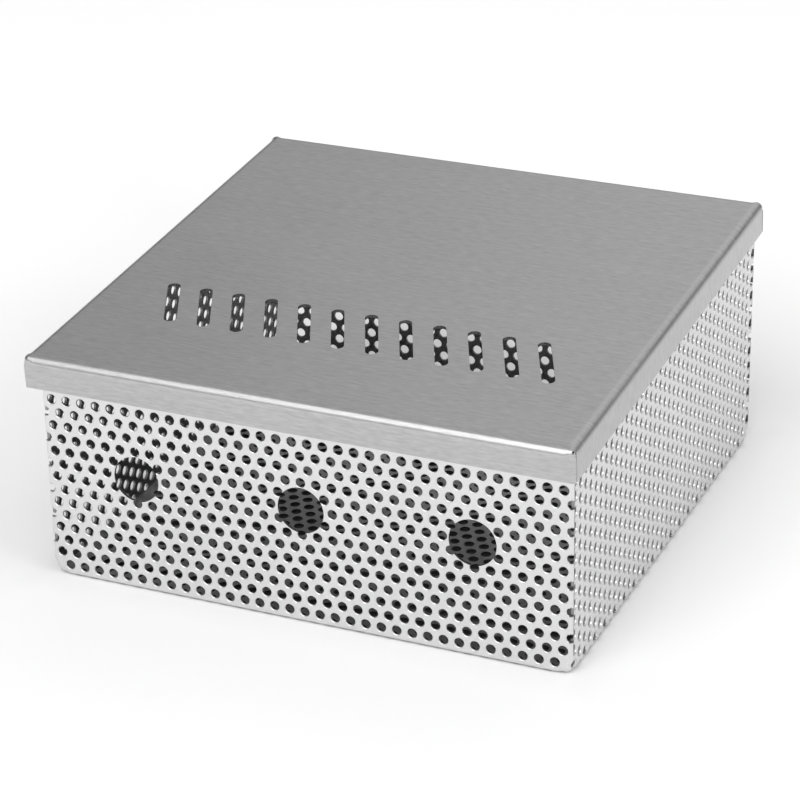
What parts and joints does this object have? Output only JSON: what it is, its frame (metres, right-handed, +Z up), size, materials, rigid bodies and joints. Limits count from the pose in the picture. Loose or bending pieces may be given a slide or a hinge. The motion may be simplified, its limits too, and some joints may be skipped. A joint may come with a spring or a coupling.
{
  "type": "grill smoker box",
  "caption": "Square perforated steel box with a loose brushed lid, filled with wood chips and set on a grill to make smoke.",
  "frame": {"origin": "centre of the underside of the body's base, on the surface that the box stands on", "axes": "+Z up, -Y towards the wall with the three air holes, +X to the right seen from that wall"},
  "size_m": [0.176, 0.1751, 0.0857],
  "materials": {
    "perforated_steel": "bright satin perforated stainless sheet",
    "brushed_steel": "stainless sheet with a fine straight brushed grain from side to side"
  },
  "bodies": {
    "body": {"perforated_body": "perforated_steel"},
    "lid": {"lid": "brushed_steel"}
  },
  "joints": [
    {"name": "lid_lift", "type": "slide", "parent": "body", "child": "lid", "axis": [0, 0, 1], "range_m": [0, 0.06]}
  ]
}
